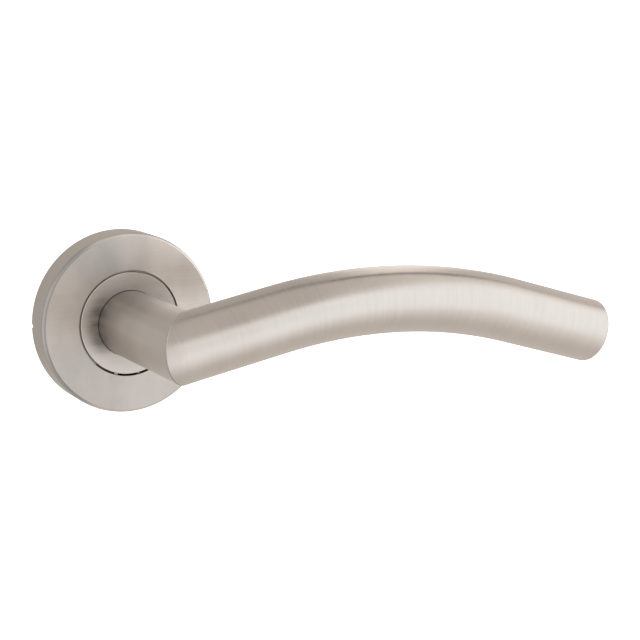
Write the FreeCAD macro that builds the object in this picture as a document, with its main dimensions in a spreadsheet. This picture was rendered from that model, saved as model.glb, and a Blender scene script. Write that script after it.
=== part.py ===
import FreeCAD, Part
import os

import Sketcher
from FreeCAD import Placement, Rotation, Vector

# Door lever handle on a round sprung rose, in millimetres.
# The spindle lies along Y. The door face is y = 0 and the handle stands out towards -Y.
# +Z is up and the grip runs towards +X. A "depth" is a distance in front of the door face.

SIZES = {
    # Lever: a mitred tube.
    "tube_diameter": 19.0,
    "tube_wall": 1.5,
    "grip_offset": 47.25,
    "grip_lift_angle": 11.5,
    "grip_first_straight": 28.2,
    "grip_bend_radius": 164.0,
    "grip_bend_angle": 27.1,
    "grip_last_straight": 31.4,
    "grip_end_radius": 0.8,
    "cap_thickness": 2.5,
    # Neck bearing, from the back of the recess to the web.
    "journal_diameter": 15.0,
    "running_clearance": 0.05,
    "bush_wall": 0.85,
    "bush_flange_width": 1.6,
    "bush_flange_thickness": 0.6,
    "thrust_gap": 0.1,
    "washer_hole_gap": 0.1,
    "thrust_washer_thickness": 0.5,
    "spring_washer_height": 0.7,
    "spring_washer_thickness": 0.4,
    "circlip_thickness": 0.7,
    "circlip_width": 1.8,
    "circlip_groove_depth": 0.6,
    "circlip_mouth_half_angle": 35.0,
    "insert_tail": 0.2,
    "insert_corner_gap": 5.75,
    # Return mechanism, from the neck outwards.
    "turn_limit_angle": 45.0,
    "stop_gap_angle": 0.5,
    "stop_pin_diameter": 2.5,
    "stop_pin_wall_gap": 0.15,
    "cam_gap": 0.1,
    "cam_thickness": 0.8,
    "cam_pin_gap": 0.45,
    "cam_key_depth": 1.0,
    "cam_arm_overlap": 1.5,
    "lobe_gap": 0.9,
    "lobe_half_angle": 10.0,
    "lug_width": 2.4,
    "lug_thickness": 0.7,
    "lug_gap": 0.12,
    "lug_setback": 0.2,
    "post_height": 0.76,
    "spring_wire_diameter": 1.6,
    "spring_bore_gap": 0.2,
    "spring_gap": 0.15,
    "spring_rise": 1.0,
    "leg_gap": 0.05,
    "leg_end_gap": 0.45,
    "spring_plate_thickness": 0.4,
    # Mounting plate with its hub, spring chamber and rear recess.
    "plate_thickness": 3.6,
    "recess_gap": 1.0,
    "recess_depth": 3.0,
    "web_thickness": 1.0,
    "hub_gap": 0.15,
    "chamber_wall": 1.0,
    # The lip around the disc, its slots, and the ribs left between them.
    "lip_setback": 0.8,
    "slot_start_angle": 228.0,
    "slot_end_angle": 310.0,
    "slot_floor_depth": 4.2,
    "first_rib_angle": 254.0,
    "first_rib_width_angle": 4.0,
    "second_rib_angle": 280.8,
    "second_rib_width_angle": 1.6,
    "rib_setback": 0.4,
    "lip_gap": 0.05,
    # Centre disc that closes the hub around the neck.
    "disc_gap": 0.55,
    "disc_wall": 1.0,
    "disc_skirt_wall": 0.8,
    "disc_skirt_depth": 2.2,
    "disc_edge_radius": 0.25,
    "neck_gap": 0.12,
    # Rose cover: a pressed cup that slides off the plate along the neck.
    "rose_diameter": 52.0,
    "cover_wall": 1.0,
    "cover_edge_radius": 0.8,
    "cover_door_gap": 0.1,
    "notch_width": 1.0,
    "notch_height": 0.8,
    "notch_angle": 181.0,
    # Nylon liner that grips the plate with a light sliding fit.
    "liner_wall": 1.95,
    "liner_clearance": 0.05,
    "liner_setback": 0.6,
    # Fixings, on one circle.
    "fixing_circle_diameter": 38.0,
    "sleeve_diameter": 7.0,
    "sleeve_bore_diameter": 3.3,
    "sleeve_length_behind": 6.0,
    "screw_diameter": 3.5,
    "screw_head_diameter": 7.0,
    "screw_length": 20.0,
    "screw_point_length": 4.0,
    "screw_point_diameter": 0.5,
    "screw_hole_gap": 0.15,
    "screw_sink": 0.1,
    "driver_slot_width": 0.9,
    "driver_slot_length": 3.8,
    "driver_slot_depth": 1.2,
    # Spindle and the screw that grips it.
    "spindle_width": 8.0,
    "spindle_edge": 0.5,
    "spindle_gap": 0.05,
    "spindle_length_behind": 38.0,
    "spindle_inset": 2.0,
    "grub_diameter": 6.0,
    "grub_stand_off": 9.8,
    "grub_sink": 1.1,
    "grub_socket_width": 3.0,
    "grub_socket_depth": 2.2,
    "grub_hole_gap": 0.1,
    "grub_mouth_chamfer": 0.55,
}

# Sizes that follow from the sheet. Radii first, from the tube outwards to the rose's rim.
TUBE_RADIUS = "(dims.tube_diameter / 2)"
TUBE_INSIDE = f"({TUBE_RADIUS} - dims.tube_wall)"
JOURNAL_RADIUS = "(dims.journal_diameter / 2)"
GROOVE_RADIUS = f"({JOURNAL_RADIUS} - dims.circlip_groove_depth)"
WASHER_HOLE = f"({JOURNAL_RADIUS} + dims.washer_hole_gap)"
BUSH_INSIDE = f"({JOURNAL_RADIUS} + dims.running_clearance)"
BUSH_OUTSIDE = f"({BUSH_INSIDE} + dims.bush_wall)"
FLANGE_RADIUS = f"({BUSH_OUTSIDE} + dims.bush_flange_width)"
RECESS_RADIUS = f"({FLANGE_RADIUS} + dims.recess_gap)"
WIRE_RADIUS = "(dims.spring_wire_diameter / 2)"
SPRING_RADIUS = f"({TUBE_RADIUS} + dims.spring_bore_gap + {WIRE_RADIUS})"
LUG_INSIDE = f"({SPRING_RADIUS} + {WIRE_RADIUS} + dims.lug_gap)"
LUG_OUTSIDE = f"({LUG_INSIDE} + dims.lug_thickness)"
POST_INSIDE = f"({LUG_OUTSIDE} + dims.lug_gap)"
CHAMBER_RADIUS = f"({POST_INSIDE} + dims.post_height)"
DISC_SKIRT_INSIDE = f"({CHAMBER_RADIUS} + dims.chamber_wall)"
DISC_RADIUS = f"({DISC_SKIRT_INSIDE} + dims.disc_skirt_wall)"
COVER_HOLE = f"({DISC_RADIUS} + dims.disc_gap)"
HUB_RADIUS = f"({COVER_HOLE} - dims.hub_gap)"
LIP_INSIDE = f"({DISC_RADIUS} + dims.lip_gap)"
ROSE_RADIUS = "(dims.rose_diameter / 2)"
COVER_INSIDE = f"({ROSE_RADIUS} - dims.cover_wall)"
LINER_INSIDE = f"({COVER_INSIDE} - dims.liner_wall)"
PLATE_RADIUS = f"({LINER_INSIDE} - dims.liner_clearance)"
FIXING_RADIUS = "(dims.fixing_circle_diameter / 2)"
NECK_HOLE = f"({TUBE_RADIUS} + dims.neck_gap)"

# Cam and stops, inside the spring chamber.
STOP_PIN_RADIUS = "(dims.stop_pin_diameter / 2)"
STOP_PIN_CIRCLE = f"({CHAMBER_RADIUS} - dims.stop_pin_wall_gap - {STOP_PIN_RADIUS})"
STOP_PIN_ANGLE = (
    "(dims.turn_limit_angle + dims.stop_gap_angle + dims.lobe_half_angle"
    f" + asin({STOP_PIN_RADIUS} / {STOP_PIN_CIRCLE}) / 1 deg)"
)
CAM_RADIUS = f"({STOP_PIN_CIRCLE} - {STOP_PIN_RADIUS} - dims.cam_pin_gap)"
CAM_FLAT = f"({JOURNAL_RADIUS} - dims.cam_key_depth)"
LOBE_RADIUS = f"({CHAMBER_RADIUS} - dims.lobe_gap)"
LEG_OFFSET = f"(dims.lug_width / 2 + {WIRE_RADIUS} + dims.leg_gap)"

# Depths behind the web, from the bush's flange back to the insert's tail.
BUSH_BACK = "(dims.recess_depth - dims.bush_flange_thickness)"
THRUST_FRONT = f"({BUSH_BACK} - dims.thrust_gap)"
THRUST_BACK = f"({THRUST_FRONT} - dims.thrust_washer_thickness)"
SPRING_WASHER_BACK = f"({THRUST_BACK} - dims.spring_washer_height)"
CIRCLIP_BACK = f"({SPRING_WASHER_BACK} - dims.circlip_thickness)"
INSERT_BACK = f"({CIRCLIP_BACK} - dims.insert_tail)"

# Depths in front of the web, up to the rose's face.
WEB_FRONT = "(dims.recess_depth + dims.web_thickness)"
CAM_BACK = f"({WEB_FRONT} + dims.cam_gap)"
CAM_FRONT = f"({CAM_BACK} + dims.cam_thickness)"
SPRING_BACK = f"({CAM_FRONT} + dims.spring_gap + {WIRE_RADIUS})"
SPRING_FRONT = f"({SPRING_BACK} + dims.spring_rise)"
SPRING_PLATE_BACK = f"({SPRING_FRONT} + {WIRE_RADIUS} + dims.spring_gap)"
LUG_FRONT = f"({SPRING_PLATE_BACK} - dims.lug_setback)"
DISC_BACK = f"({SPRING_PLATE_BACK} + dims.spring_plate_thickness)"
ROSE_FACE = f"({DISC_BACK} + dims.disc_wall)"
DISC_SEAT = f"({ROSE_FACE} - dims.disc_skirt_depth)"
LIP_FRONT = f"({ROSE_FACE} - dims.lip_setback)"
COVER_INNER_FACE = f"({ROSE_FACE} - dims.cover_wall)"

# Along the neck.
INSERT_FRONT = f"(dims.grip_offset - {TUBE_RADIUS} - dims.insert_corner_gap)"
SPINDLE_FRONT = f"({INSERT_FRONT} - dims.spindle_inset)"
SPINDLE_HALF = "(dims.spindle_width / 2)"
GRUB_RADIUS = "(dims.grub_diameter / 2)"
GRUB_HOLE = f"({GRUB_RADIUS} + dims.grub_hole_gap)"
GRUB_DEPTH = f"({ROSE_FACE} + dims.grub_stand_off)"
GRUB_LENGTH = f"({TUBE_RADIUS} - dims.grub_sink - {SPINDLE_HALF})"

DOWN_ANGLE = 270.0
BEYOND = 5.0  # how far a cutting shape reaches past the piece that it cuts

doc = FreeCAD.newDocument("door_lever_handle")
sheet = doc.addObject("Spreadsheet::Sheet", "dims")


def fill_sheet():
    """Write every driving dimension to the sheet, with its name beside it."""
    for row, (name, size) in enumerate(SIZES.items(), start=1):
        sheet.set(f"A{row}", name)
        sheet.set(f"B{row}", str(size))
        sheet.setAlias(f"B{row}", name)
    doc.recompute()


def number(expression):
    """The value that an expression has now."""
    value = sheet.evalExpression(expression)
    return float(getattr(value, "Value", value))


# ---------------------------------------------------------------- sketch and feature helpers

def new_body(label):
    body = doc.addObject("PartDesign::Body", label)
    body.Label = label
    return body


def sketch_on(body, role, offset="0"):
    """A sketch on one of the body's own planes, moved along that plane's normal."""
    sketch = body.newObject("Sketcher::SketchObject", "sketch")
    base_plane = next(item for item in body.Origin.OriginFeatures if item.Role == role)
    sketch.AttachmentSupport = [(base_plane, "")]
    sketch.MapMode = "FlatFace"
    sketch.setExpression("AttachmentOffset.Base.z", offset)
    return sketch


def sketch_at_depth(body, depth):
    """A sketch square to the spindle: its x is X, its y is Z and its normal is -Y."""
    return sketch_on(body, "XZ_Plane", depth)


def bind(sketch, constraint, expression):
    """Add a sized constraint and tie it to an expression."""
    index = sketch.addConstraint(constraint)
    name = f"size_{index}"
    sketch.renameConstraint(index, name)
    sketch.setExpression(f"Constraints.{name}", expression)


def bind_point(sketch, geometry, point, x, y):
    """Place a point of a sketch at two expressions; a zero puts it on the axis."""
    for axis, kind, expression in ((-2, "DistanceX", x), (-1, "DistanceY", y)):
        value = number(expression)
        if abs(value) < 1e-9:
            sketch.addConstraint(Sketcher.Constraint("PointOnObject", geometry, point, axis))
        else:
            bind(sketch, Sketcher.Constraint(kind, -1, 1, geometry, point, value), expression)


def add_polygon(sketch, corners):
    """A closed straight-sided outline through corners given as pairs of expressions."""
    places = [Vector(number(x), number(y), 0) for x, y in corners]
    count = len(corners)
    first = sketch.GeometryCount
    for k in range(count):
        sketch.addGeometry(Part.LineSegment(places[k], places[(k + 1) % count]))
    for k in range(count):
        after = first + (k + 1) % count
        sketch.addConstraint(Sketcher.Constraint("Coincident", first + k, 2, after, 1))
    for k, (x, y) in enumerate(corners):
        bind_point(sketch, first + k, 1, x, y)


def add_rectangle(sketch, x_low, x_high, y_low, y_high):
    add_polygon(sketch, [(x_low, y_low), (x_high, y_low), (x_high, y_high), (x_low, y_high)])


def add_circle(sketch, radius, x="0", y="0"):
    place = Vector(number(x), number(y), 0)
    index = sketch.addGeometry(Part.Circle(place, Vector(0, 0, 1), number(radius)))
    bind_point(sketch, index, 3, x, y)
    bind(sketch, Sketcher.Constraint("Radius", index, number(radius)), radius)


def add_sector(sketch, inside, outside, start, end):
    """A piece of a ring between two radii and two angles, in degrees."""
    centre = Vector(0, 0, 0)
    normal = Vector(0, 0, 1)
    turn = [FreeCAD.Units.Quantity(number(angle), "deg").getValueAs("rad").Value
            for angle in (start, end)]
    arcs = []
    for radius in (inside, outside):
        circle = Part.Circle(centre, normal, number(radius))
        arc = sketch.addGeometry(Part.ArcOfCircle(circle, turn[0], turn[1]))
        sketch.addConstraint(Sketcher.Constraint("Coincident", arc, 3, -1, 1))
        bind(sketch, Sketcher.Constraint("Radius", arc, number(radius)), radius)
        arcs.append(arc)
    for point, angle, expression in ((1, turn[0], start), (2, turn[1], end)):
        ray = Rotation(normal, number(expression)).multVec(Vector(1, 0, 0))
        side = sketch.addGeometry(Part.LineSegment(ray * number(inside), ray * number(outside)))
        sketch.addConstraint(Sketcher.Constraint("Coincident", side, 1, arcs[0], point))
        sketch.addConstraint(Sketcher.Constraint("Coincident", side, 2, arcs[1], point))
        sketch.addConstraint(Sketcher.Constraint("PointOnObject", -1, 1, side))
        bind(sketch, Sketcher.Constraint("Angle", side, angle), f"{expression} * 1 deg")


def pad(body, sketch, length):
    feature = body.newObject("PartDesign::Pad", "pad")
    feature.Profile = sketch
    feature.setExpression("Length", length)
    return feature


def pocket(body, sketch, length):
    """Cut from the sketch back against its normal."""
    feature = body.newObject("PartDesign::Pocket", "pocket")
    feature.Profile = sketch
    feature.setExpression("Length", length)
    return feature


def pocket_both_ways(body, sketch, length):
    feature = pocket(body, sketch, length)
    feature.SideType = "Symmetric"
    return feature


def revolve(body, profile):
    """Turn a profile of (radius, depth) corners about the spindle's axis."""
    sketch = sketch_on(body, "XY_Plane")
    add_polygon(sketch, [(radius, f"-({depth})") for radius, depth in profile])
    feature = body.newObject("PartDesign::Revolution", "revolution")
    feature.Profile = sketch
    feature.ReferenceAxis = (sketch, ["V_Axis"])
    feature.Angle = 360
    return feature


def circle_edges(shape, radius, depth):
    """Names of the full circles of one radius at one depth."""
    names = []
    for index, edge in enumerate(shape.Edges, start=1):
        if not isinstance(edge.Curve, Part.Circle):
            continue
        same_radius = abs(edge.Curve.Radius - number(radius)) < 1e-4
        same_depth = abs(edge.Curve.Center.y + number(depth)) < 1e-4
        if same_radius and same_depth:
            names.append(f"Edge{index}")
    return names


def fillet_circle(body, radius, depth, fillet_radius):
    doc.recompute()
    base = body.Tip
    feature = body.newObject("PartDesign::Fillet", "fillet")
    feature.Base = (base, circle_edges(base.Shape, radius, depth))
    feature.setExpression("Radius", fillet_radius)
    return feature


def mirrored_pair(label, body, normal):
    """Two equal pieces in one node: a body and its mirror image through the axis."""
    twin = doc.addObject("Part::Mirroring", f"{label}_twin")
    twin.Source = body
    twin.Normal = normal
    pair = doc.addObject("Part::Compound", label)
    pair.Links = [body, twin]
    pair.Label = label
    return pair


# ---------------------------------------------------------------- rose: the fixed pieces

def mounting_plate():
    body = new_body("mounting_plate")
    revolve(body, [
        (RECESS_RADIUS, "0"),
        (PLATE_RADIUS, "0"),
        (PLATE_RADIUS, "dims.plate_thickness"),
        (HUB_RADIUS, "dims.plate_thickness"),
        (HUB_RADIUS, LIP_FRONT),
        (LIP_INSIDE, LIP_FRONT),
        (LIP_INSIDE, DISC_SEAT),
        (DISC_SKIRT_INSIDE, DISC_SEAT),
        (DISC_SKIRT_INSIDE, DISC_BACK),
        (CHAMBER_RADIUS, DISC_BACK),
        (CHAMBER_RADIUS, WEB_FRONT),
        (BUSH_OUTSIDE, WEB_FRONT),
        (BUSH_OUTSIDE, "dims.recess_depth"),
        (RECESS_RADIUS, "dims.recess_depth"),
    ])
    add_spring_post(body)
    add_hub_slots_and_ribs(body)
    cut_plate_holes(body)
    return body


def add_spring_post(body):
    """The rib at the top of the spring chamber that holds the spring's two legs."""
    sketch = sketch_at_depth(body, WEB_FRONT)
    half = "(dims.lug_width / 2)"
    in_wall = f"({CHAMBER_RADIUS} + dims.chamber_wall / 2)"
    add_rectangle(sketch, f"-{half}", half, POST_INSIDE, in_wall)
    pad(body, sketch, f"{SPRING_PLATE_BACK} - {WEB_FRONT}")


def add_hub_slots_and_ribs(body):
    slots = sketch_at_depth(body, LIP_FRONT)
    reach = f"({HUB_RADIUS} + {BEYOND})"
    first_half = "(dims.first_rib_width_angle / 2)"
    second_half = "(dims.second_rib_width_angle / 2)"
    spans = [
        ("dims.slot_start_angle", f"(dims.first_rib_angle - {first_half})"),
        (f"(dims.first_rib_angle + {first_half})", f"(dims.second_rib_angle - {second_half})"),
        (f"(dims.second_rib_angle + {second_half})", "dims.slot_end_angle"),
    ]
    for start, end in spans:
        add_sector(slots, DISC_SKIRT_INSIDE, reach, start, end)
    pocket(body, slots, f"{LIP_FRONT} - dims.slot_floor_depth")
    ribs = sketch_at_depth(body, DISC_SEAT)
    for angle, half in (("dims.first_rib_angle", first_half), ("dims.second_rib_angle", second_half)):
        add_sector(ribs, LIP_INSIDE, HUB_RADIUS, f"({angle} - {half})", f"({angle} + {half})")
    pad(body, ribs, f"{ROSE_FACE} - dims.rib_setback - {DISC_SEAT}")


def cut_plate_holes(body):
    sleeves = sketch_at_depth(body, "dims.plate_thickness")
    for side in (FIXING_RADIUS, f"-{FIXING_RADIUS}"):
        add_circle(sleeves, "dims.sleeve_diameter / 2", x=side)
    pocket(body, sleeves, "dims.plate_thickness")
    pins = sketch_at_depth(body, WEB_FRONT)
    for sign in ("", "-"):
        x, y = stop_pin_place(sign)
        add_circle(pins, STOP_PIN_RADIUS, x, y)
    pocket(body, pins, "dims.web_thickness")
    screws = sketch_at_depth(body, "dims.plate_thickness")
    for side in (FIXING_RADIUS, f"-{FIXING_RADIUS}"):
        add_circle(screws, "dims.screw_diameter / 2", y=side)
    doc.recompute()
    hole = body.newObject("PartDesign::Hole", "screw_holes")
    hole.Profile = screws
    hole.ThreadType = 0
    hole.DepthType = "ThroughAll"
    hole.HoleCutType = "Countersink"
    hole.HoleCutCustomValues = True
    hole.HoleCutCountersinkAngle = 90
    hole.setExpression("Diameter", "dims.screw_diameter + 2 * dims.screw_hole_gap")
    hole.setExpression("HoleCutDiameter", "dims.screw_head_diameter + 2 * dims.screw_sink")


def stop_pin_place(sign):
    """Where a stop pin stands: beside the lobe's middle, left or right of it."""
    across = f"{sign}({STOP_PIN_CIRCLE} * sin({STOP_PIN_ANGLE} * 1 deg))"
    up = f"-({STOP_PIN_CIRCLE} * cos({STOP_PIN_ANGLE} * 1 deg))"
    return across, up


def neck_bush():
    body = new_body("neck_bush")
    revolve(body, [
        (BUSH_INSIDE, BUSH_BACK),
        (FLANGE_RADIUS, BUSH_BACK),
        (FLANGE_RADIUS, "dims.recess_depth"),
        (BUSH_OUTSIDE, "dims.recess_depth"),
        (BUSH_OUTSIDE, WEB_FRONT),
        (BUSH_INSIDE, WEB_FRONT),
    ])
    return body


def stop_pins():
    body = new_body("stop_pin")
    sketch = sketch_at_depth(body, "dims.recess_depth")
    x, y = stop_pin_place("")
    add_circle(sketch, STOP_PIN_RADIUS, x, y)
    pad(body, sketch, f"{CAM_FRONT} - dims.recess_depth")
    return mirrored_pair("stop_pins", body, Vector(1, 0, 0))


def spring_plate():
    body = new_body("spring_plate")
    sketch = sketch_at_depth(body, SPRING_PLATE_BACK)
    add_circle(sketch, CHAMBER_RADIUS)
    add_circle(sketch, NECK_HOLE)
    pad(body, sketch, "dims.spring_plate_thickness")
    return body


def centre_disc():
    body = new_body("centre_disc")
    revolve(body, [
        (NECK_HOLE, DISC_BACK),
        (DISC_SKIRT_INSIDE, DISC_BACK),
        (DISC_SKIRT_INSIDE, DISC_SEAT),
        (DISC_RADIUS, DISC_SEAT),
        (DISC_RADIUS, ROSE_FACE),
        (NECK_HOLE, ROSE_FACE),
    ])
    fillet_circle(body, DISC_RADIUS, ROSE_FACE, "dims.disc_edge_radius")
    return body


def fixing_sleeves():
    body = new_body("fixing_sleeve")
    sketch = sketch_at_depth(body, "-dims.sleeve_length_behind")
    add_circle(sketch, "dims.sleeve_diameter / 2", x=FIXING_RADIUS)
    add_circle(sketch, "dims.sleeve_bore_diameter / 2", x=FIXING_RADIUS)
    pad(body, sketch, "dims.sleeve_length_behind + dims.plate_thickness")
    return mirrored_pair("fixing_sleeves", body, Vector(1, 0, 0))


def wood_screws():
    body = new_body("wood_screw")
    top = "(dims.plate_thickness - dims.screw_sink)"
    head = "(dims.screw_head_diameter / 2)"
    shank = "(dims.screw_diameter / 2)"
    tip = f"({top} - dims.screw_length)"
    revolve(body, [
        ("0", tip),
        ("dims.screw_point_diameter / 2", tip),
        (shank, f"{tip} + dims.screw_point_length"),
        (shank, f"{top} - ({head} - {shank})"),
        (head, top),
        ("0", top),
    ])
    cross = sketch_at_depth(body, top)
    width = "(dims.driver_slot_width / 2)"
    reach = "(dims.driver_slot_length / 2)"
    add_polygon(cross, [
        (f"-{width}", f"-{reach}"), (width, f"-{reach}"), (width, f"-{width}"),
        (reach, f"-{width}"), (reach, width), (width, width),
        (width, reach), (f"-{width}", reach), (f"-{width}", width),
        (f"-{reach}", width), (f"-{reach}", f"-{width}"), (f"-{width}", f"-{width}"),
    ])
    pocket(body, cross, "dims.driver_slot_depth")
    body.setExpression("Placement.Base.z", FIXING_RADIUS)
    return mirrored_pair("wood_screws", body, Vector(0, 0, 1))


def return_spring():
    """One open turn of round wire with a straight leg at each end, beside the post."""
    wire_radius = number(WIRE_RADIUS)
    back = number(SPRING_BACK)
    rise = number("dims.spring_rise")
    start_angle = number(f"acos({LEG_OFFSET} / {SPRING_RADIUS}) / 1 deg")
    turns = 1 - 2 * (90 - start_angle) / 360
    coil = Part.makeHelix(rise / turns, rise, number(SPRING_RADIUS), 0, True)
    upright = Placement(Vector(0, -back, 0), Rotation(Vector(1, 0, 0), 90))
    coil.Placement = upright * Placement(Vector(), Rotation(Vector(0, 0, 1), start_angle))
    path = Part.Wire(coil.Edges)
    ends = [path.OrderedVertexes[0].Point, path.OrderedVertexes[-1].Point]
    heading = path.OrderedEdges[0].tangentAt(path.OrderedEdges[0].FirstParameter)
    section = Part.Wire(Part.makeCircle(wire_radius, ends[0], heading))
    solid = path.makePipeShell([section], True, True)
    leg_top = number(f"{CHAMBER_RADIUS} - dims.leg_end_gap")
    for end in ends:
        leg = Part.makeCylinder(wire_radius, leg_top - end.z, end, Vector(0, 0, 1))
        solid = solid.fuse([leg, Part.makeSphere(wire_radius, end)])
    spring = doc.addObject("Part::Feature", "return_spring")
    spring.Shape = solid.removeSplitter()
    spring.Label = "return_spring"
    return spring


# ---------------------------------------------------------------- rose cover: slides forward

def rose_cover():
    body = new_body("rose_cover")
    revolve(body, [
        (COVER_INSIDE, "dims.cover_door_gap"),
        (ROSE_RADIUS, "dims.cover_door_gap"),
        (ROSE_RADIUS, ROSE_FACE),
        (COVER_HOLE, ROSE_FACE),
        (COVER_HOLE, COVER_INNER_FACE),
        (COVER_INSIDE, COVER_INNER_FACE),
    ])
    fillet_circle(body, ROSE_RADIUS, ROSE_FACE, "dims.cover_edge_radius")
    cut_pry_notch(body)
    return body


def cut_pry_notch(body):
    """A small notch in the rear rim that takes a screwdriver's tip."""
    half_angle = f"(asin(dims.notch_width / dims.rose_diameter) / 1 deg)"
    sketch = sketch_at_depth(body, "dims.cover_door_gap + dims.notch_height")
    inside = f"({COVER_INSIDE} - dims.cover_wall)"
    beyond = f"({ROSE_RADIUS} + {BEYOND})"
    start = f"(dims.notch_angle - {half_angle})"
    end = f"(dims.notch_angle + {half_angle})"
    add_sector(sketch, inside, beyond, start, end)
    pocket(body, sketch, "dims.cover_door_gap + dims.notch_height")


def cover_liner():
    body = new_body("cover_liner")
    sketch = sketch_at_depth(body, "dims.liner_setback")
    add_circle(sketch, COVER_INSIDE)
    add_circle(sketch, LINER_INSIDE)
    pad(body, sketch, f"{COVER_INNER_FACE} - 2 * dims.liner_setback")
    return body


# ---------------------------------------------------------------- lever: the turning pieces

def neck_insert():
    """Steel core: the journal behind, the spigot pressed into the neck in front."""
    body = new_body("neck_insert")
    revolve(body, [
        ("0", INSERT_BACK),
        (GROOVE_RADIUS, INSERT_BACK),
        (JOURNAL_RADIUS, INSERT_BACK),
        (JOURNAL_RADIUS, CIRCLIP_BACK),
        (GROOVE_RADIUS, CIRCLIP_BACK),
        (GROOVE_RADIUS, SPRING_WASHER_BACK),
        (JOURNAL_RADIUS, SPRING_WASHER_BACK),
        (JOURNAL_RADIUS, CAM_FRONT),
        (TUBE_INSIDE, CAM_FRONT),
        (TUBE_INSIDE, INSERT_FRONT),
        ("0", INSERT_FRONT),
    ])
    flats = sketch_at_depth(body, CAM_FRONT)
    beyond = f"({JOURNAL_RADIUS} + {BEYOND})"
    add_rectangle(flats, CAM_FLAT, beyond, f"-{beyond}", beyond)
    add_rectangle(flats, f"-{beyond}", f"-{CAM_FLAT}", f"-{beyond}", beyond)
    pocket(body, flats, "dims.cam_thickness")
    square = sketch_at_depth(body, INSERT_FRONT)
    half = f"({SPINDLE_HALF} + dims.spindle_gap)"
    add_rectangle(square, f"-{half}", half, f"-{half}", half)
    pocket(body, square, f"{INSERT_FRONT} - {INSERT_BACK}")
    cut_grub_hole(body, GRUB_RADIUS)
    return body


def cut_grub_hole(body, radius):
    """A round hole up from below, across the spindle's axis, as far as that axis."""
    sketch = sketch_on(body, "XY_Plane")
    add_circle(sketch, radius, y=f"-{GRUB_DEPTH}")
    pocket(body, sketch, f"{TUBE_RADIUS} + {BEYOND}")


def drive_cam():
    body = new_body("drive_cam")
    plate = sketch_at_depth(body, CAM_BACK)
    add_circle(plate, CAM_RADIUS)
    pad(body, plate, "dims.cam_thickness")
    arm_start = f"({CAM_RADIUS} - dims.cam_arm_overlap)"
    lobe = sketch_at_depth(body, CAM_BACK)
    start = f"({DOWN_ANGLE} - dims.lobe_half_angle)"
    end = f"({DOWN_ANGLE} + dims.lobe_half_angle)"
    add_sector(lobe, arm_start, LOBE_RADIUS, start, end)
    pad(body, lobe, "dims.cam_thickness")
    half = "(dims.lug_width / 2)"
    arm = sketch_at_depth(body, CAM_BACK)
    add_rectangle(arm, f"-{half}", half, arm_start, LUG_OUTSIDE)
    pad(body, arm, "dims.cam_thickness")
    lug = sketch_at_depth(body, CAM_FRONT)
    add_rectangle(lug, f"-{half}", half, LUG_INSIDE, LUG_OUTSIDE)
    pad(body, lug, f"{LUG_FRONT} - {CAM_FRONT}")
    cut_keyed_bore(body)
    return body


def cut_keyed_bore(body):
    """The cam's bore has two flats that sit on the insert's flats."""
    bore = sketch_at_depth(body, CAM_FRONT)
    radius = number(JOURNAL_RADIUS)
    half_turn = number(f"acos({CAM_FLAT} / {JOURNAL_RADIUS}) / 1 rad")
    circle = Part.Circle(Vector(0, 0, 0), Vector(0, 0, 1), radius)
    quarter = number("180 deg / 1 rad") / 2
    top = bore.addGeometry(Part.ArcOfCircle(circle, half_turn, 2 * quarter - half_turn))
    bottom = bore.addGeometry(Part.ArcOfCircle(circle, 2 * quarter + half_turn, -half_turn))
    x = number(CAM_FLAT)
    z = number(f"sqrt({JOURNAL_RADIUS} ^ 2 - {CAM_FLAT} ^ 2)")
    left = bore.addGeometry(Part.LineSegment(Vector(-x, z, 0), Vector(-x, -z, 0)))
    right = bore.addGeometry(Part.LineSegment(Vector(x, -z, 0), Vector(x, z, 0)))
    for arc in (top, bottom):
        bore.addConstraint(Sketcher.Constraint("Coincident", arc, 3, -1, 1))
        bind(bore, Sketcher.Constraint("Radius", arc, radius), JOURNAL_RADIUS)
    for one, two in ((top, left), (left, bottom), (bottom, right), (right, top)):
        bore.addConstraint(Sketcher.Constraint("Coincident", one, 2, two, 1))
    for side in (left, right):
        bore.addConstraint(Sketcher.Constraint("Vertical", side))
    bind(bore, Sketcher.Constraint("DistanceX", -1, 1, right, 1, x), CAM_FLAT)
    bind(bore, Sketcher.Constraint("DistanceX", left, 1, -1, 1, x), CAM_FLAT)
    pocket(body, bore, "dims.cam_thickness")


def thrust_washer():
    body = new_body("thrust_washer")
    sketch = sketch_at_depth(body, THRUST_BACK)
    add_circle(sketch, FLANGE_RADIUS)
    add_circle(sketch, WASHER_HOLE)
    pad(body, sketch, "dims.thrust_washer_thickness")
    return body


def spring_washer():
    """A dished washer: its inner edge bears on the circlip, its outer on the thrust washer."""
    body = new_body("spring_washer")
    revolve(body, [
        (WASHER_HOLE, SPRING_WASHER_BACK),
        (FLANGE_RADIUS, f"{THRUST_BACK} - dims.spring_washer_thickness"),
        (FLANGE_RADIUS, THRUST_BACK),
        (WASHER_HOLE, f"{SPRING_WASHER_BACK} + dims.spring_washer_thickness"),
    ])
    return body


def retaining_circlip():
    """An open ring in the insert's groove, with its mouth at the bottom."""
    body = new_body("retaining_circlip")
    sketch = sketch_at_depth(body, CIRCLIP_BACK)
    outside = f"({GROOVE_RADIUS} + dims.circlip_width)"
    start = f"({DOWN_ANGLE} + dims.circlip_mouth_half_angle - 360)"
    end = f"({DOWN_ANGLE} - dims.circlip_mouth_half_angle)"
    add_sector(sketch, GROOVE_RADIUS, outside, start, end)
    pad(body, sketch, "dims.circlip_thickness")
    return body


def mitre(body, sketch_offset, corner_sign):
    """Cut a tube at 45 degrees through the elbow, on one side of the joint plane."""
    sketch = sketch_on(body, "XY_Plane")
    reach = f"({TUBE_RADIUS} + {BEYOND})"
    corners = [
        (f"-{reach}", f"-{reach} - {sketch_offset}"),
        (reach, f"{reach} - {sketch_offset}"),
        (f"{corner_sign}{reach}", f"-({corner_sign}{reach}) - {sketch_offset}"),
    ]
    add_polygon(sketch, corners)
    pocket_both_ways(body, sketch, f"2 * {reach}")


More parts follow.
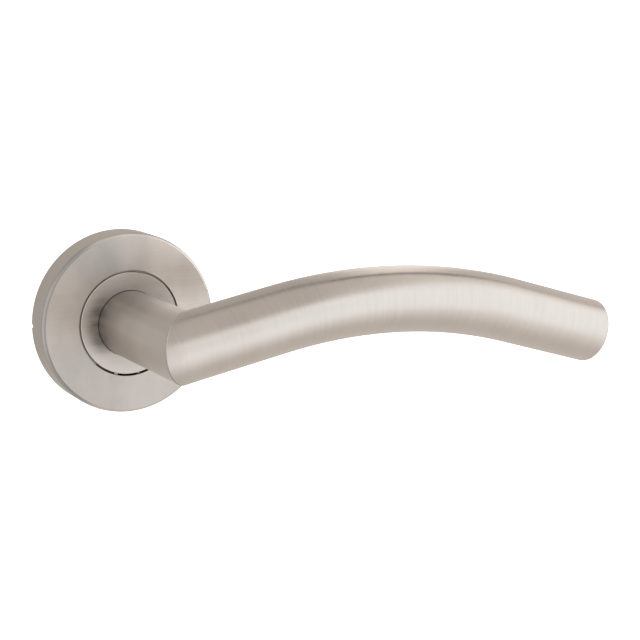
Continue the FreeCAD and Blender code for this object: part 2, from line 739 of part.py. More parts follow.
def lever_neck():
    body = new_body("lever_neck")
    sketch = sketch_at_depth(body, CAM_FRONT)
    add_circle(sketch, TUBE_RADIUS)
    add_circle(sketch, TUBE_INSIDE)
    pad(body, sketch, f"dims.grip_offset + {TUBE_RADIUS} + 1 - {CAM_FRONT}")
    mitre(body, "dims.grip_offset", "")
    tool = grub_hole_tool()
    neck = doc.addObject("Part::Cut", "lever_neck_cut")
    neck.Base = body
    neck.Tool = tool
    body.Label = "lever_neck_tube"
    body.Placement = Placement(Vector(), Rotation(Vector(0, 1, 0), -1))
    body.setExpression("Placement.Rotation.Angle", "-dims.grip_lift_angle")
    neck.Label = "lever_neck"
    return neck


def grub_hole_tool():
    """The screw's clearance hole through the neck's lower wall, with a coned mouth."""
    hole = doc.addObject("Part::Cylinder", "neck_hole")
    hole.setExpression("Radius", GRUB_HOLE)
    hole.setExpression("Height", f"{TUBE_RADIUS} + {BEYOND}")
    mouth = doc.addObject("Part::Cone", "neck_hole_mouth")
    edge = f"sqrt({TUBE_RADIUS} ^ 2 - ({GRUB_HOLE} + dims.grub_mouth_chamfer) ^ 2)"
    mouth.setExpression("Radius1", GRUB_HOLE)
    mouth.setExpression("Radius2", f"{GRUB_HOLE} + 3 * dims.grub_mouth_chamfer")
    mouth.setExpression("Height", "3 * dims.grub_mouth_chamfer")
    downwards = Rotation(Vector(1, 0, 0), 180)
    for shape in (hole, mouth):
        shape.Placement = Placement(Vector(), downwards)
        shape.setExpression("Placement.Base.y", f"-{GRUB_DEPTH}")
    mouth.setExpression("Placement.Base.z", f"-({edge} - dims.grub_mouth_chamfer)")
    tool = doc.addObject("Part::Fuse", "neck_hole_tool")
    tool.Base = hole
    tool.Tool = mouth
    return tool


def grip_path(body):
    """The grip's axis: a straight, one long arc that turns down, and a straight."""
    sketch = sketch_on(body, "XZ_Plane")
    lead = f"({TUBE_RADIUS} + 1)"
    straight = number("dims.grip_first_straight")
    radius = number("dims.grip_bend_radius")
    turn = number("dims.grip_bend_angle")
    centre = Vector(straight, -radius, 0)
    down = Rotation(Vector(0, 0, 1), -turn)
    bend_end = centre + down.multVec(Vector(0, radius, 0))
    heading = down.multVec(Vector(1, 0, 0))
    tip = bend_end + heading * number("dims.grip_last_straight")
    quarter = number("90 deg / 1 rad")
    circle = Part.Circle(centre, Vector(0, 0, 1), radius)
    first = Part.LineSegment(Vector(-number(lead), 0, 0), Vector(straight, 0, 0))
    first = sketch.addGeometry(first)
    turned = number("dims.grip_bend_angle * 1 deg / 1 rad")
    bend = sketch.addGeometry(Part.ArcOfCircle(circle, quarter - turned, quarter))
    last = sketch.addGeometry(Part.LineSegment(bend_end, tip))
    sketch.addConstraint(Sketcher.Constraint("PointOnObject", first, 1, -1))
    sketch.addConstraint(Sketcher.Constraint("PointOnObject", first, 2, -1))
    sketch.addConstraint(Sketcher.Constraint("Tangent", first, 2, bend, 2))
    sketch.addConstraint(Sketcher.Constraint("Tangent", last, 1, bend, 1))
    bind(sketch, Sketcher.Constraint("DistanceX", first, 1, -1, 1, number(lead)), lead)
    bind(sketch, Sketcher.Constraint("DistanceX", -1, 1, first, 2, straight), "dims.grip_first_straight")
    bind(sketch, Sketcher.Constraint("Radius", bend, radius), "dims.grip_bend_radius")
    bend_reach = "dims.grip_first_straight + dims.grip_bend_radius * sin(dims.grip_bend_angle * 1 deg)"
    bind(sketch, Sketcher.Constraint("DistanceX", -1, 1, last, 1, bend_end.x), bend_reach)
    bind(sketch, Sketcher.Constraint("Distance", last, number("dims.grip_last_straight")),
         "dims.grip_last_straight")
    return sketch


def place_on_grip(body):
    """Stand a body's frame at the elbow, with its X along the grip's first straight."""
    body.Placement = Placement(Vector(), Rotation(Vector(0, 1, 0), -1))
    body.setExpression("Placement.Base.y", "-dims.grip_offset")
    body.setExpression("Placement.Rotation.Angle", "-dims.grip_lift_angle")


def lever_grip():
    body = new_body("lever_grip")
    path = grip_path(body)
    ring = sketch_on(body, "YZ_Plane", f"-({TUBE_RADIUS} + 1)")
    add_circle(ring, TUBE_RADIUS)
    add_circle(ring, TUBE_INSIDE)
    pipe = body.newObject("PartDesign::AdditivePipe", "tube")
    pipe.Profile = ring
    pipe.Spine = path
    doc.recompute()
    mitre(body, "0", "-")
    doc.recompute()
    round_grip_end(body)
    place_on_grip(body)
    return body


def round_grip_end(body):
    base = body.Tip
    furthest = max(edge.BoundBox.XMax for edge in base.Shape.Edges)
    names = []
    for index, edge in enumerate(base.Shape.Edges, start=1):
        if not isinstance(edge.Curve, Part.Circle):
            continue
        outer = abs(edge.Curve.Radius - number(TUBE_RADIUS)) < 1e-3
        if outer and edge.BoundBox.XMax > furthest - 1e-3 and edge.Closed:
            names.append(f"Edge{index}")
    feature = body.newObject("PartDesign::Fillet", "end_round")
    feature.Base = (base, names)
    feature.setExpression("Radius", "dims.grip_end_radius")


def grip_end_cap():
    """A round plug pressed flush into the grip's end."""
    body = new_body("grip_end_cap")
    sketch = sketch_on(body, "YZ_Plane", "-dims.cap_thickness")
    add_circle(sketch, TUBE_INSIDE)
    pad(body, sketch, "dims.cap_thickness")
    # The grip's end is found along the same straight, arc and straight as its axis.
    turn = "(dims.grip_bend_angle * 1 deg)"
    along = (f"(dims.grip_first_straight + dims.grip_bend_radius * sin({turn})"
             f" + dims.grip_last_straight * cos({turn}))")
    down = (f"(dims.grip_bend_radius * (1 - cos({turn})) + dims.grip_last_straight * sin({turn}))")
    lift = "(dims.grip_lift_angle * 1 deg)"
    body.Placement = Placement(Vector(), Rotation(Vector(0, 1, 0), 1))
    body.setExpression("Placement.Base.x", f"{along} * cos({lift}) + {down} * sin({lift})")
    body.setExpression("Placement.Base.y", "-dims.grip_offset")
    body.setExpression("Placement.Base.z", f"{along} * sin({lift}) - {down} * cos({lift})")
    body.setExpression("Placement.Rotation.Angle", "dims.grip_bend_angle - dims.grip_lift_angle")
    return body


def spindle():
    body = new_body("spindle")
    sketch = sketch_at_depth(body, "-dims.spindle_length_behind")
    half = SPINDLE_HALF
    near = f"({half} - dims.spindle_edge)"
    add_polygon(sketch, [
        (f"-{near}", f"-{half}"), (near, f"-{half}"), (half, f"-{near}"), (half, near),
        (near, half), (f"-{near}", half), (f"-{half}", near), (f"-{half}", f"-{near}"),
    ])
    pad(body, sketch, f"dims.spindle_length_behind + {SPINDLE_FRONT}")
    return body


def grub_screw():
    """A short socket screw that bears on the spindle's lower face."""
    body = new_body("grub_screw")
    sketch = sketch_on(body, "XY_Plane", f"-{GRUB_LENGTH}")
    add_circle(sketch, GRUB_RADIUS)
    pad(body, sketch, GRUB_LENGTH)
    socket = sketch_on(body, "XY_Plane", f"-{GRUB_LENGTH} + dims.grub_socket_depth")
    corner = "(dims.grub_socket_width / sqrt(3))"
    corners = []
    for k in range(6):
        corners.append((f"({corner} * cos({60 * k} deg))", f"({corner} * sin({60 * k} deg))"))
    add_polygon(socket, corners)
    pocket(body, socket, "dims.grub_socket_depth")
    body.setExpression("Placement.Base.y", f"-{GRUB_DEPTH}")
    body.setExpression("Placement.Base.z", f"-{SPINDLE_HALF}")
    return body


# ---------------------------------------------------------------- the whole handle

PIECES = [
    mounting_plate, neck_bush, stop_pins, spring_plate, centre_disc, fixing_sleeves,
    wood_screws, return_spring, rose_cover, cover_liner, neck_insert, drive_cam,
    thrust_washer, spring_washer, retaining_circlip, lever_neck, lever_grip,
    grip_end_cap, spindle, grub_screw,
]


def check(pieces):
    """Stop if any object failed or any piece has no sound solid."""
    for item in doc.Objects:
        if {"Invalid", "Error"} & set(item.State):
            raise RuntimeError(f"{item.Label} ({item.TypeId}) failed: {item.State}")
    for piece in pieces:
        shape = piece.Shape
        if shape.isNull() or not shape.isValid() or not shape.Solids:
            raise RuntimeError(f"{piece.Label} has no sound solid")


def export(pieces):
    os.makedirs("parts", exist_ok=True)
    for piece in pieces:
        piece.Shape.exportStep(f"parts/{piece.Label}.step")


fill_sheet()
made = [piece() for piece in PIECES]
doc.recompute()
check(made)
export(made)
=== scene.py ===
import bmesh
import bpy
import math
from mathutils import Matrix, Vector


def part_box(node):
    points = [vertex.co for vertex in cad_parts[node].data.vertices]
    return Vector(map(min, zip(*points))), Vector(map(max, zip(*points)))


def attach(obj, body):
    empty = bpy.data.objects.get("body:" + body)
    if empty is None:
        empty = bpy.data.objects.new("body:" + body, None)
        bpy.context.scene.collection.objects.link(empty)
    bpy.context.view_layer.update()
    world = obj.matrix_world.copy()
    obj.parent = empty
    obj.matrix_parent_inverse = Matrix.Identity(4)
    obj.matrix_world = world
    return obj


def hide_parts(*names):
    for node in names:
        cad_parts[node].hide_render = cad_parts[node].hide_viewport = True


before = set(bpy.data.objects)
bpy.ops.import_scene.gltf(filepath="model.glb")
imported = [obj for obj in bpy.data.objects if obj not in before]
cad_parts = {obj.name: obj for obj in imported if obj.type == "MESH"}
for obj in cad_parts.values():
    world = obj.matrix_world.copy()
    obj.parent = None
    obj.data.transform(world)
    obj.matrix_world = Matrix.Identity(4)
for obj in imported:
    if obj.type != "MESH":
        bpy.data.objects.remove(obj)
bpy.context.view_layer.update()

MM = 0.001

# Sizes as the frame has them. The lever's axis is a neck along -Y, an elbow, then a grip that
# rises, bends over one long arc and falls.
TUBE_RADIUS = 9.5 * MM
ROSE_RADIUS = 26.0 * MM
GRIP_OFFSET = 47.25 * MM
GRIP_LIFT = math.radians(11.5)
FIRST_STRAIGHT = 28.2 * MM
BEND_RADIUS = 164.0 * MM
BEND_ANGLE = math.radians(27.1)
LAST_STRAIGHT = 31.4 * MM
GRIP_LENGTH = FIRST_STRAIGHT + BEND_RADIUS * BEND_ANGLE + LAST_STRAIGHT
SEAM_RADIUS = 0.20 * MM
SCREW_HEAD_RADIUS = 3.5 * MM
SCREW_HEAD_HEIGHT = 2.2 * MM
FLOOR_DROP = 0.30
FLOOR_HALF_WIDTH = 60.0


# ---------------------------------------------------------------- shader maths

class Wire:
    """A number or colour on its way through a node tree. Maths on it adds Math nodes."""

    def __init__(self, tree, socket):
        self.tree = tree
        self.socket = socket

    def math(self, operation, *others, swap=False):
        values = (others[0], self) if swap else (self, *others)
        return add(self.tree, "ShaderNodeMath", {"operation": operation}, dict(enumerate(values)))

    def __add__(self, other):
        return self.math("ADD", other)

    def __radd__(self, other):
        return self.math("ADD", other)

    def __sub__(self, other):
        return self.math("SUBTRACT", other)

    def __rsub__(self, other):
        return self.math("SUBTRACT", other, swap=True)

    def __mul__(self, other):
        return self.math("MULTIPLY", other)

    def __rmul__(self, other):
        return self.math("MULTIPLY", other)

    def at_least(self, other):
        return self.math("MAXIMUM", other)

    def at_most(self, other):
        return self.math("MINIMUM", other)

    def ramp(self, low, high):
        """0 below low, 1 above high, smooth between; low may be the larger."""
        settings = {"interpolation_type": "SMOOTHSTEP"}
        values = {"Value": self, "From Min": low, "From Max": high}
        return add(self.tree, "ShaderNodeMapRange", settings, values)

    def band(self, centre, half_width, softness):
        """1 within half_width of centre, falling to 0 over softness."""
        distance = (self - centre).math("ABSOLUTE")
        return distance.ramp(half_width + softness, half_width)


def add(tree, kind, settings=None, values=None, output=0):
    """Add one node: its settings first, then its sockets' values or links."""
    node = tree.nodes.new(kind)
    for name, setting in (settings or {}).items():
        setattr(node, name, setting)
    for name, value in (values or {}).items():
        socket = node.inputs[name]
        if isinstance(value, Wire):
            tree.links.new(value.socket, socket)
        else:
            socket.default_value = value
    return Wire(tree, node.outputs[output])


def pick(tree, factor, low, high):
    """A colour between low and high."""
    values = {"Factor": factor, 6: colour(low), 7: colour(high)}
    return add(tree, "ShaderNodeMix", {"data_type": "RGBA"}, values, output=2)


def colour(value):
    return value if isinstance(value, Wire) else (*value, 1.0)


def tint(tree, base, amount):
    """A colour times a number."""
    return add(tree, "ShaderNodeVectorMath", {"operation": "SCALE"}, {0: base, "Scale": amount})


def noise(tree, place, scale, detail, roughness):
    values = {"Vector": place, "Scale": scale, "Detail": detail, "Roughness": roughness}
    return add(tree, "ShaderNodeTexNoise", {"noise_dimensions": "3D"}, values)


def vector(tree, x, y, z):
    return add(tree, "ShaderNodeCombineXYZ", None, {"X": x, "Y": y, "Z": z})


def split(tree, place):
    """The three numbers of a vector."""
    parts = add(tree, "ShaderNodeSeparateXYZ", None, {"Vector": place})
    return [Wire(tree, socket) for socket in parts.socket.node.outputs]


def new_material(name):
    material = bpy.data.materials.new(name)
    material.use_nodes = True
    tree = material.node_tree
    tree.nodes.clear()
    return material, tree


def place_mm(tree):
    """The place on the piece, in millimetres, as three numbers."""
    place = add(tree, "ShaderNodeTexCoord", output="Object")
    return [number * (1.0 / MM) for number in split(tree, place)]


def surface(tree, base, roughness, metallic, bump=None, bump_depth=0.0, **constants):
    """The one surface shader of a finish, with an optional bump height in millimetres."""
    values = {"Base Color": base, "Roughness": roughness, "Metallic": metallic}
    if bump is not None:
        sizes = {"Height": bump, "Strength": 1.0, "Distance": bump_depth * MM}
        values["Normal"] = add(tree, "ShaderNodeBump", None, sizes)
    values.update(constants)
    shader = add(tree, "ShaderNodeBsdfPrincipled", None, values)
    add_output(tree, shader, "ShaderNodeOutputMaterial")


def add_output(tree, shader, kind):
    node = tree.nodes.new(kind)
    tree.links.new(shader.socket, node.inputs["Surface"])


# ---------------------------------------------------------------- finishes

STEEL_PALE = (0.645, 0.617, 0.592)
STEEL_WARM = (0.605, 0.570, 0.538)
# The colour of the painted cool reflections.
STEEL_PAINTED_REFLECTION = (0.548, 0.549, 0.550)


def brushed_steel(tree, along, across, tone, gloss, line_depth=0.013, painted_cool_reflection=None):
    """Satin stainless. Scratches run along one way and blur what it reflects across them.
    along and across are places in millimetres, and tone multiplies the steel's colour."""
    fine = noise(tree, vector(tree, along * 0.25, across * 12.0, 0.0), 1.0, 2.0, 0.6)
    broad = noise(tree, vector(tree, along * 0.03, across * 1.4, 7.0), 1.0, 2.0, 0.5)
    cloud = noise(tree, vector(tree, along * 0.09, across * 0.09, 3.0), 1.0, 2.0, 0.55)
    warmth = (0.45 * cloud + 0.35 * broad + 0.20 * fine).ramp(0.30, 0.70)
    steel = pick(tree, warmth, STEEL_WARM, STEEL_PALE)
    # This mixes a painted cool reflection into the steel's colour.
    if painted_cool_reflection is not None:
        steel = pick(tree, painted_cool_reflection, steel, STEEL_PAINTED_REFLECTION)
    base = tint(tree, steel, tone)
    roughness = gloss + 0.10 * (cloud - 0.5) + 0.08 * (broad - 0.5)
    height = 0.93 * fine + 0.07 * broad
    surface(tree, base, roughness, 1.0, height, line_depth)


def neck_and_grip_steel():
    """Scratches run round the tube, at right angles to its axis."""
    material, tree = new_material("satin_tube")
    x, y, z = place_mm(tree)
    neck_run = -1.0 * y
    toward_front = y + GRIP_OFFSET / MM
    lift_cos, lift_sin = math.cos(GRIP_LIFT), math.sin(GRIP_LIFT)
    run = x * lift_cos + z * lift_sin
    up = z * lift_cos - x * lift_sin
    on_grip = (run - toward_front).ramp(-0.3, 0.3)

    # How far along the grip's bent axis a place is.
    first, bend = FIRST_STRAIGHT / MM, BEND_RADIUS / MM
    turn_cos, turn_sin = math.cos(BEND_ANGLE), math.sin(BEND_ANGLE)
    from_centre = up + bend
    swing = (run - first).math("ARCTAN2", from_centre).at_least(0.0).at_most(BEND_ANGLE)
    past_run = run - (first + bend * turn_sin)
    past_up = up + bend * (1.0 - turn_cos)
    past = (past_run * turn_cos - past_up * turn_sin).at_least(0.0)
    grip_along = run.at_most(first) + swing * bend + past

    # How high above that axis it is, and how far round the tube.
    radial = ((run - first) * (run - first) + from_centre * from_centre).math("SQRT") - bend
    past_height = past_run * turn_sin + past_up * turn_cos
    is_bent = swing.math("GREATER_THAN", 0.0)
    is_past = past.math("GREATER_THAN", 0.0)
    height = up + (radial - up) * is_bent
    height = height + (past_height - height) * is_past
    tube = TUBE_RADIUS / MM
    round_grip = toward_front.math("ARCTAN2", height) * tube
    round_neck = x.math("ARCTAN2", z) * tube

    # The 60 mm keeps the grip's scratches apart from the neck's.
    along = on_grip * (grip_along + 60.0) + (1.0 - on_grip) * neck_run
    around = on_grip * round_grip + (1.0 - on_grip) * round_neck
    # Painted shade darkens the neck in its corner by the rose.
    painted_corner_shade = (1.0 - on_grip) * neck_run.ramp(28.0, 12.0)
    # Painted light lightens the neck towards the elbow.
    painted_elbow_light = (1.0 - on_grip) * neck_run.ramp(28.0, 40.0)
    end = GRIP_LENGTH / MM
    rim = on_grip * grip_along.ramp(end - 1.6, end - 0.7)
    # Degrees round the spindle's axis, from the grip's side up over the top.
    degrees = z.math("ARCTAN2", x) * math.degrees(1.0)
    # A painted highlight streak along the neck's left side, and painted shade in a band over its top.
    painted_sheen_and_shade = 0.13 * degrees.band(158.0, 8.0, 14.0) - 0.15 * degrees.band(106.0, 14.0, 14.0)
    mottle = noise(tree, vector(tree, x, y, z), 0.9, 2.0, 0.6) - 0.5
    # Next to the seam the grip is rougher, and a little painted shade dims it.
    near_seam = on_grip * (run - toward_front).ramp(7.0, 0.0)
    tone = 1.0 - 0.34 * painted_corner_shade + 0.19 * painted_elbow_light + (0.08 + 0.45 * mottle) * rim
    tone = tone + (1.0 - on_grip) * painted_sheen_and_shade - 0.04 * near_seam
    gloss = 0.30 - 0.10 * on_grip + 0.16 * rim + 0.12 * near_seam
    # A painted cool reflection along the neck's left side.
    painted_cool_reflection = 0.7 * (1.0 - on_grip) * degrees.band(156.0, 8.0, 16.0)
    brushed_steel(tree, around, along, tone, gloss=gloss, painted_cool_reflection=painted_cool_reflection)
    return material


def cover_steel():
    """The face is brushed straight across; the side wall is brushed round the rim."""
    material, tree = new_material("satin_cover")
    x, y, z = place_mm(tree)
    radius = (x * x + z * z).math("SQRT")
    rim = ROSE_RADIUS / MM
    on_side = radius.ramp(rim - 0.7, rim - 0.4)
    around = x.math("ARCTAN2", z) * rim
    along = on_side * around + (1.0 - on_side) * x
    across = on_side * y + (1.0 - on_side) * z
    degrees = z.math("ARCTAN2", x) * math.degrees(1.0)
    # Painted light: a pale patch over the face's upper right.
    painted_light_patch = degrees.band(34.0, 16.0, 34.0) + 0.22 * degrees.band(76.0, 10.0, 22.0)
    # Painted shade: dull patches low on the left and at the upper left.
    painted_shade_patch = degrees.band(-130.0, 24.0, 24.0) + 0.8 * degrees.band(120.0, 8.0, 16.0)
    blotch = noise(tree, vector(tree, x * 0.16, z * 0.07, 11.0), 1.0, 3.0, 0.6)
    face_tone = 0.89 + 0.42 * painted_light_patch - 0.08 * painted_shade_patch + 0.22 * (blotch - 0.5)
    # Painted shade, dark and cool, along the front rim's rounded edge on the left.
    painted_edge_shade = radius.band(rim - 0.45, 0.30, 0.25) * x.ramp(-9.0, -16.0) * y.ramp(-7.4, -8.2)
    # Painted shade darkens the side wall near its top.
    side_with_painted_shade = 1.05 - 0.25 * degrees.band(72.0, 10.0, 14.0)
    tone = side_with_painted_shade * on_side + (1.0 - on_side) * face_tone - 0.30 * painted_edge_shade
    # Painted cool reflections in two patches on the face, at the upper left and the lower left.
    painted_cool_reflection = 0.50 * degrees.band(112.0, 6.0, 20.0) + 0.28 * degrees.band(-146.0, 6.0, 22.0)
    painted_cool_reflection = (1.0 - on_side) * painted_cool_reflection + 0.9 * painted_edge_shade
    brushed_steel(tree, along, across, tone, line_depth=0.020, gloss=0.33, painted_cool_reflection=painted_cool_reflection.at_most(1.0))
    return material


def disc_steel():
    """Brushed straight across like the cover, with painted shade in the corner round the neck."""
    material, tree = new_material("satin_disc")
    x, _, z = place_mm(tree)
    radius = (x * x + z * z).math("SQRT")
    painted_corner_shade = radius.ramp(15.0, 10.2)
    left = radius + x
    shade_mottle = noise(tree, vector(tree, x * 0.12, z * 0.45, 5.0), 1.0, 3.0, 0.6)
    # Painted shade round the neck, heavier on its left, broken up by noise.
    shade = (0.13 * painted_corner_shade + 0.44 * painted_corner_shade * left.ramp(4.8, 0.6)) * (0.35 + 1.3 * shade_mottle)
    brushed_steel(tree, x, z, 0.97 - shade, line_depth=0.020, gloss=0.33)
    return material


def weld_steel():
    """The weld, ground smooth: dark low down on the left, and the colour of the tube on top; the
    change with height is painted shade.
    """
    material, tree = new_material("dressed_weld")
    x, y, z = place_mm(tree)
    grains = noise(tree, vector(tree, x, y, z), 2.5, 2.0, 0.5)
    # Painted shade: the weld is dark low down and lightens to the tube's colour on top.
    painted_top_light = (z + 2.0 * (grains - 0.5)).ramp(-1.0, 4.5)
    base = pick(tree, painted_top_light, (0.37, 0.37, 0.38), STEEL_WARM)
    surface(tree, base, 0.38 + 0.10 * (grains - 0.5), 1.0, grains, 0.006)
    return material


def plain_metal(name, dark, pale, roughness, grain, grain_depth):
    """A machined or cast metal with a grain size in millimetres and a little tone change."""
    material, tree = new_material(name)
    x, y, z = place_mm(tree)
    place = vector(tree, x, y, z)
    grains = noise(tree, place, 1.0 / grain, 3.0, 0.6)
    patches = noise(tree, place, 0.4, 2.0, 0.5)
    base = pick(tree, (0.5 * grains + 0.5 * patches).ramp(0.3, 0.7), dark, pale)
    surface(tree, base, roughness + 0.12 * (patches - 0.5), 1.0, grains, grain_depth)
    return material


def moulded(name, dark, pale, roughness):
    """Moulded nylon, matt."""
    material, tree = new_material(name)
    x, y, z = place_mm(tree)
    place = vector(tree, x, y, z)
    grains = noise(tree, place, 4.0, 2.0, 0.5)
    base = pick(tree, grains.ramp(0.3, 0.7), dark, pale)
    surface(tree, base, roughness + 0.1 * (grains - 0.5), 0.0, grains, 0.01)
    return material


# ---------------------------------------------------------------- pieces in mesh

def ring_tube(name, centres, outward, radius):
    """A thin closed bead: a round section carried along a closed line of centres."""
    shape = bmesh.new()
    rows = []
    count = len(centres)
    for k in range(count):
        heading = (centres[(k + 1) % count] - centres[k - 1]).normalized()
        side = outward[k].normalized()
        across = heading.cross(side)
        row = []
        for step in range(10):
            turn = 2 * math.pi * step / 10
            reach = math.cos(turn) * side + math.sin(turn) * across
            row.append(shape.verts.new(centres[k] + radius * reach))
        rows.append(row)
    for k in range(count):
        near, far = rows[k], rows[(k + 1) % count]
        for step in range(10):
            after = (step + 1) % 10
            shape.faces.new((near[step], far[step], far[after], near[after]))
    return finish_mesh(name, shape)


def finish_mesh(name, shape):
    bmesh.ops.recalc_face_normals(shape, faces=shape.faces)
    for face in shape.faces:
        face.smooth = True
    mesh = bpy.data.meshes.new(name)
    shape.to_mesh(mesh)
    shape.free()
    item = bpy.data.objects.new(name, mesh)
    bpy.context.scene.collection.objects.link(item)
    return item


def mitre_seam(material):
    """The weld, ground smooth, where the neck meets the grip, a hair proud of both tubes."""
    radius = TUBE_RADIUS - 0.75 * SEAM_RADIUS
    centres = []
    outward = []
    for step in range(144):
        turn = 2 * math.pi * step / 144
        round_x, round_z = math.cos(turn), math.sin(turn)
        across = round_x * math.cos(GRIP_LIFT) + round_z * math.sin(GRIP_LIFT)
        centres.append(Vector((radius * round_x, radius * across - GRIP_OFFSET, radius * round_z)))
        outward.append(Vector((round_x, across, round_z)))
    seam = ring_tube("mitre_seam", centres, outward, SEAM_RADIUS)
    seam.data.materials.append(material)
    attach(seam, "lever")


def threaded_screw(shape, place, head_front, tip):
    """One wood screw along +Y: a countersunk head, a shank and a thread that runs to the point."""
    sides = 28
    core, crest, pitch = 1.15 * MM, 1.72 * MM, 1.35 * MM
    head, point_length = SCREW_HEAD_RADIUS - 0.05 * MM, 4.0 * MM
    thread_start = head_front + 4.5 * MM
    levels = [(head_front, 0.0), (head_front, head), (head_front + 0.3 * MM, head)]
    levels += [(head_front + SCREW_HEAD_HEIGHT, 1.6 * MM), (thread_start, 1.45 * MM)]
    thread_rows = int((tip - thread_start) / (pitch / 10))
    rows = []
    for y, radius in levels:
        rows.append([(radius, y)] * sides)
    for k in range(1, thread_rows):
        y = thread_start + k * pitch / 10
        narrow = min(1.0, 0.12 + (tip - y) / point_length)
        grow = min(1.0, k / 12)
        row = []
        for step in range(sides):
            phase = (y / pitch + step / sides) % 1.0
            ridge = max(0.0, 1.0 - abs(phase - 0.5) / 0.32)
            row.append(((core + grow * (crest - core) * ridge) * narrow, y))
        rows.append(row)
    rings = []
    for row in rows:
        if row[0][0] == 0.0:
            rings.append([shape.verts.new(place + Vector((0, row[0][1], 0)))])
            continue
        ring = []
        for step, (radius, y) in enumerate(row):
            turn = 2 * math.pi * step / sides
            spot = Vector((radius * math.cos(turn), y, radius * math.sin(turn)))
            ring.append(shape.verts.new(place + spot))
        rings.append(ring)
    point = shape.verts.new(place + Vector((0, tip, 0)))
    for step in range(sides):
        after = (step + 1) % sides
        shape.faces.new((rings[0][0], rings[1][step], rings[1][after]))
        for near, far in zip(rings[1:], rings[2:]):
            shape.faces.new((near[step], far[step], far[after], near[after]))
        shape.faces.new((rings[-1][step], point, rings[-1][after]))


def cross_cutter(places, front):
    """A tapered cross that the driver's recess is cut with."""
    shape = bmesh.new()
    for place in places:
        for wide, narrow in ((1.9, 0.45), (0.45, 1.9)):
            corners = []
            for depth, scale in ((-0.5, 1.08), (1.3, 0.62)):
                for sx, sz in ((-1, -1), (1, -1), (1, 1), (-1, 1)):
                    spot = Vector((sx * wide * scale, depth, sz * narrow * scale)) * MM
                    corners.append(shape.verts.new(place + spot + Vector((0, front, 0))))
            low, high = corners[:4], corners[4:]
            shape.faces.new(low)
            shape.faces.new(high[::-1])
            for k in range(4):
                after = (k + 1) % 4
                shape.faces.new((low[k], high[k], high[after], low[after]))
    return finish_mesh("driver_cutter", shape)


def wood_screws(material):
    """Both screws in one piece, each with a real thread and a cross recess."""
    low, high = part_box("wood_screws")
    middle = 0.5 * (low[2] + high[2])
    spread = 0.5 * (high[2] - low[2]) - SCREW_HEAD_RADIUS
    places = [Vector((0, 0, middle + spread)), Vector((0, 0, middle - spread))]
    shape = bmesh.new()
    for place in places:
        threaded_screw(shape, place, low[1], high[1])
    screws = finish_mesh("threaded_screws", shape)
    for face in screws.data.polygons:
        face.use_smooth = face.center.y > low[1] + SCREW_HEAD_HEIGHT
    cutter = cross_cutter(places, low[1])
    cut = screws.modifiers.new("recess", "BOOLEAN")
    cut.object = cutter
    cut.solver = "EXACT"
    cut.use_self = True
    cut_screws = screws.evaluated_get(bpy.context.evaluated_depsgraph_get())
    made = bpy.data.meshes.new_from_object(cut_screws)
    screws.modifiers.clear()
    screws.data = made
    bpy.data.objects.remove(cutter)
    made.materials.clear()
    made.materials.append(material)
    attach(screws, "rose")
    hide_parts("wood_screws")


# ---------------------------------------------------------------- dress the pieces

def dress(node, material):
    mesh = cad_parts[node].data
    mesh.materials.clear()
    mesh.materials.append(material)


def dress_all():
    tube = neck_and_grip_steel()
    dress("lever_neck", tube)
    dress("lever_grip", tube)
    dress("grip_end_cap", tube)
    mitre_seam(weld_steel())
    dress("rose_cover", cover_steel())
    dress("centre_disc", disc_steel())
    zinc = plain_metal("zinc_casting", (0.34, 0.33, 0.32), (0.48, 0.47, 0.46), 0.46, 0.35, 0.02)
    dress("mounting_plate", zinc)
    plated = plain_metal("zinc_plated_steel", (0.55, 0.56, 0.58), (0.72, 0.73, 0.75), 0.26, 0.2, 0.004)
    for node in ("spindle", "neck_insert", "drive_cam", "stop_pins", "spring_plate",
                 "fixing_sleeves"):
        dress(node, plated)
    wood_screws(plated)
    spring = plain_metal("spring_steel", (0.16, 0.15, 0.15), (0.33, 0.31, 0.30), 0.32, 0.3, 0.004)
    for node in ("return_spring", "spring_washer"):
        dress(node, spring)
    black = plain_metal("black_oxide", (0.03, 0.03, 0.03), (0.07, 0.07, 0.07), 0.42, 0.2, 0.004)
    for node in ("retaining_circlip", "grub_screw"):
        dress(node, black)
    dress("cover_liner", moulded("black_nylon", (0.018, 0.018, 0.019), (0.035, 0.035, 0.036), 0.5))
    white = moulded("white_nylon", (0.72, 0.70, 0.64), (0.80, 0.79, 0.74), 0.5)
    for node in ("neck_bush", "thrust_washer"):
        dress(node, white)


# ---------------------------------------------------------------- studio

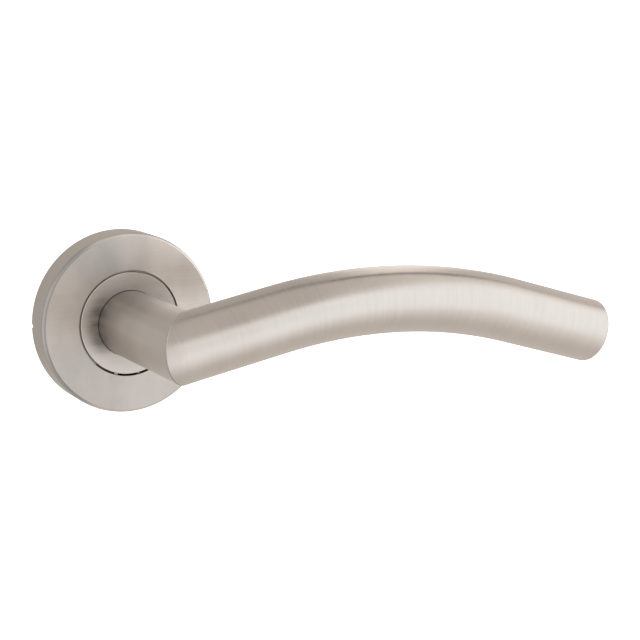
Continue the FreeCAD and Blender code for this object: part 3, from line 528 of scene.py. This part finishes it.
def studio_light():
    """A soft studio: a grey room, a wide light in front to the right that reaches overhead,
    a light at the left, and a dark gap behind the ceiling panel."""
    world = bpy.data.worlds.new("studio")
    bpy.context.scene.world = world
    world.use_nodes = True
    tree = world.node_tree
    tree.nodes.clear()
    x, y, z = split(tree, add(tree, "ShaderNodeTexCoord", output="Generated"))
    # Degrees from straight in front: over runs up and across the top, side runs to the right.
    over = z.math("ARCTAN2", -1.0 * y) * math.degrees(1.0)
    side = x.math("ARCTAN2", -1.0 * y) * math.degrees(1.0)
    rightward = x.ramp(0.36, 0.62)

    # The room, by how bright its walls, ceiling and floor are.
    back_wall = 0.53 + 0.10 * x + 0.14 * x.ramp(0.61, 0.74)
    back_wall = back_wall + 0.64 * x.band(0.53, 0.03, 0.10) * z.ramp(0.0, 0.2)
    back_wall = back_wall + 0.20 * x.band(0.55, 0.2, 0.3) * z.band(-0.25, 0.12, 0.15)
    ceiling = 0.66 + 0.29 * x.ramp(0.38, 0.62)
    floor = 0.74 + 0.02 * x
    is_ceiling = over.band(62.0, 34.0, 12.0)
    is_floor = over.band(-88.0, 42.0, 26.0)
    level = back_wall + (ceiling - back_wall) * is_ceiling
    level = level + (floor - level) * is_floor

    # The wide light in front to the right.
    top_edge = 36.0 + (x - 0.38).at_least(0.0) * 125.0
    top_fade = 11.0 + (x - 0.38).at_least(0.0) * 35.0
    bottom_edge = -86.0 + 14.0 * rightward
    softbox = side.ramp(1.0, 27.0) * side.ramp(130.0, 92.0)
    softbox = softbox * over.ramp(bottom_edge, -4.0)
    softbox = softbox * over.ramp(top_edge + top_fade, top_edge - top_fade)
    level = level + (1.26 + 0.04 * rightward - level) * softbox

    # The lesser lights, and the gap behind the ceiling panel.
    left_light = side.band(-98.0, 22.0, 24.0) * z.band(0.0, 0.35, 0.35)
    level = level + 0.45 * left_light
    front_wall = side.band(-32.0, 30.0, 24.0) * z.band(0.0, 0.4, 0.3)
    level = level + (0.98 - level) * front_wall
    lean = 9.0 * x.ramp(0.40, 0.28)
    gap = (over - lean).band(107.0, 3.0, 3.0) * (1.0 - 0.88 * x.ramp(0.66, 0.79))
    gap = gap * x.ramp(0.12, 0.30) * (1.0 - 0.045 * lean)
    level = level * (1.0 - 0.85 * gap)

    white = (softbox + left_light).at_most(1.0)
    hue = pick(tree, white, (1.0, 0.918, 0.842), (1.0, 0.995, 0.992))
    light = add(tree, "ShaderNodeBackground", None, {"Color": hue, "Strength": level})
    plain = add(tree, "ShaderNodeBackground", None, {"Color": (1, 1, 1, 1), "Strength": 1.05})
    seen = add(tree, "ShaderNodeLightPath", output="Is Camera Ray")
    both = add(tree, "ShaderNodeMixShader", None, {0: seen, 1: light, 2: plain})
    add_output(tree, both, "ShaderNodeOutputWorld")


def pale_floor():
    mesh = bpy.data.meshes.new("floor")
    shape = bmesh.new()
    bmesh.ops.create_grid(shape, x_segments=1, y_segments=1, size=FLOOR_HALF_WIDTH)
    shape.to_mesh(mesh)
    shape.free()
    floor = bpy.data.objects.new("floor", mesh)
    floor.location.z = -FLOOR_DROP
    bpy.context.scene.collection.objects.link(floor)
    material, tree = new_material("pale_floor")
    surface(tree, (0.9, 0.9, 0.9, 1.0), 0.9, 0.0,
            **{"Emission Color": (1.0, 1.0, 1.0, 1.0), "Emission Strength": 0.9})
    mesh.materials.append(material)
    floor.visible_glossy = False
    floor.visible_diffuse = False


def camera():
    """A long lens from the left and a little above, turned a degree about its own axis."""
    turn = math.radians(-29.12)
    height = math.radians(10.58)
    roll = math.radians(1.13)
    target = Vector((50.48, -29.91, 0.82)) * MM
    distance = 471.4 * MM
    level = Vector((math.sin(turn), -math.cos(turn), 0.0))
    back = level * math.cos(height) + Vector((0.0, 0.0, math.sin(height)))
    right = (-back).cross(Vector((0, 0, 1))).normalized()
    up = right.cross(-back)
    tilted_right = right * math.cos(roll) + up * math.sin(roll)
    tilted_up = up * math.cos(roll) - right * math.sin(roll)
    data = bpy.data.cameras.new("camera")
    data.lens = 91.77
    data.sensor_width = 36.0
    data.clip_start = 0.01
    data.clip_end = 200.0
    item = bpy.data.objects.new("camera", data)
    axes = Matrix((tilted_right, tilted_up, back)).transposed()
    item.matrix_world = Matrix.Translation(target + back * distance) @ axes.to_4x4()
    bpy.context.scene.collection.objects.link(item)
    bpy.context.scene.camera = item


camera()
studio_light()
pale_floor()
dress_all()
bpy.context.scene.view_settings.view_transform = "Standard"
